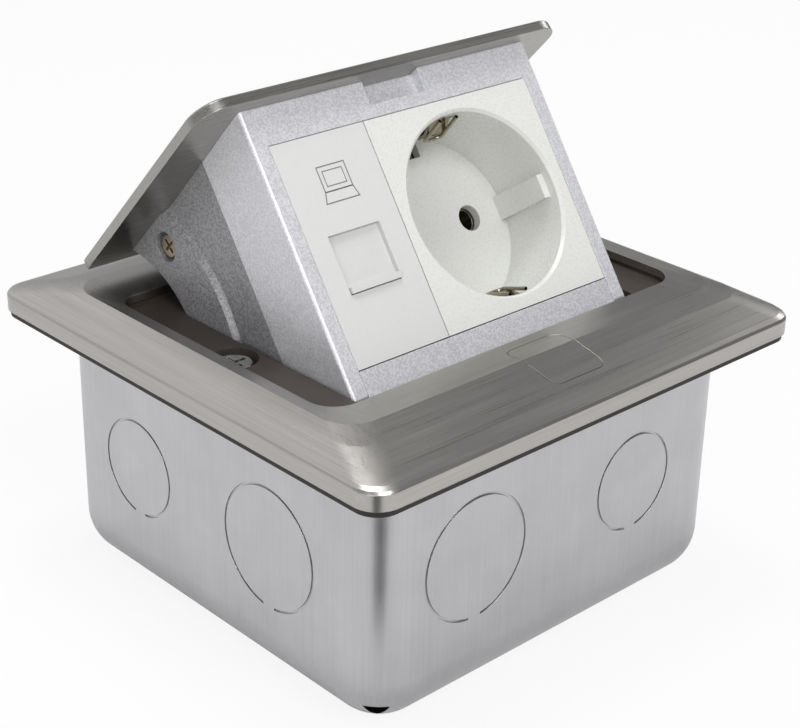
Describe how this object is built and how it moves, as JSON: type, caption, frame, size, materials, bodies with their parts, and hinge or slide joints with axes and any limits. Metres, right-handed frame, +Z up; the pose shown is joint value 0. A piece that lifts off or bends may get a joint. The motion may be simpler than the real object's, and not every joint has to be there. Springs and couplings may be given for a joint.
{
  "type": "pop-up floor socket box",
  "caption": "Square metal pop-up floor socket box with a data outlet and an earthed mains socket under its hinged lid, shown open.",
  "frame": {"origin": "centre of the back box's underside", "axes": "+X along the hinge axis, to the right seen from the button side; -Y to the front, where the release button is; +Z up"},
  "size_m": [0.117, 0.117, 0.1123],
  "materials": {
    "box_steel": "satin",
    "brass": "satin",
    "gasket_rubber": "matte",
    "frame_metal": "brushed",
    "ledge_dark": "satin",
    "zinc_screw": "satin",
    "screw_chrome": "polished",
    "pin_steel": "satin",
    "spring_steel": "satin",
    "zinc_sheet": "satin",
    "latch_metal": "satin",
    "button_metal": "brushed",
    "lid_metal": "brushed",
    "housing_paint": "satin",
    "cover_black": "matte",
    "grommet_rubber": "matte",
    "arm_steel": "satin",
    "cheek_brass": "satin",
    "bezel_silver": "satin",
    "strip_silver": "satin",
    "module_white": "satin",
    "shutter_white": "satin",
    "jack_plastic": "matte",
    "gold": "polished",
    "socket_white": "satin",
    "earth_metal": "satin",
    "base_plastic": "matte"
  },
  "bodies": {
    "base": {"back_box": "box_steel", "box_lugs": "box_steel", "earth_lug": "box_steel", "earth_screw": "brass", "gasket": "gasket_rubber", "cover_frame": "frame_metal", "support_frame": "ledge_dark", "cover_screws": "zinc_screw", "fixing_screws": "screw_chrome", "hinge_pins": "pin_steel", "torsion_springs": "spring_steel", "latch_keeper": "zinc_sheet", "keeper_screws": "zinc_screw", "latch_springs": "spring_steel", "button_spring": "spring_steel"},
    "unit": {"lid_plate": "lid_metal", "lid_screws": "zinc_screw", "unit_housing": "housing_paint", "rear_cover": "cover_black", "rear_cover_screws": "zinc_screw", "cable_grommet": "grommet_rubber", "hinge_arms": "arm_steel", "cheek_screws": "cheek_brass", "front_bezel": "bezel_silver", "bezel_strip": "strip_silver", "data_plate": "module_white", "rj45_jack": "jack_plastic", "rj45_contacts": "gold", "socket_cover": "socket_white", "earth_clip": "earth_metal", "pin_contacts": "brass", "socket_base": "base_plastic", "terminal_screws": "brass"},
    "button": {"release_button": "button_metal"},
    "latch": {"latch_slide": "latch_metal"},
    "shutter": {"data_shutter": "shutter_white"}
  },
  "joints": [
    {"name": "unit_hinge", "type": "hinge", "parent": "base", "child": "unit", "pos_m": [0, 0.039, 0.0464], "axis": [1, 0, 0], "range_deg": [0, 46.9], "stiffness_Nm_per_rad": 0.19, "springref_deg": -60.16, "deforming": ["torsion_springs"]},
    {"name": "button_press", "type": "slide", "parent": "base", "child": "button", "axis": [0, 0, -1], "range_m": [0, 0.002], "stiffness_N_per_m": 300, "springref_m": -0.002, "deforming": ["button_spring"]},
    {"name": "latch_retract", "type": "slide", "parent": "base", "child": "latch", "axis": [0, -1, 0], "range_m": [0, 0.002], "stiffness_N_per_m": 150, "springref_m": -0.002, "deforming": ["latch_springs"]},
    {"name": "shutter_slide", "type": "slide", "parent": "unit", "child": "shutter", "axis": [0, 0.5707, 0.8211], "range_m": [0, 0.0102]}
  ],
  "couplings": [
    {"joint": "latch_retract", "follows": "button_press", "ratio": 1}
  ]
}
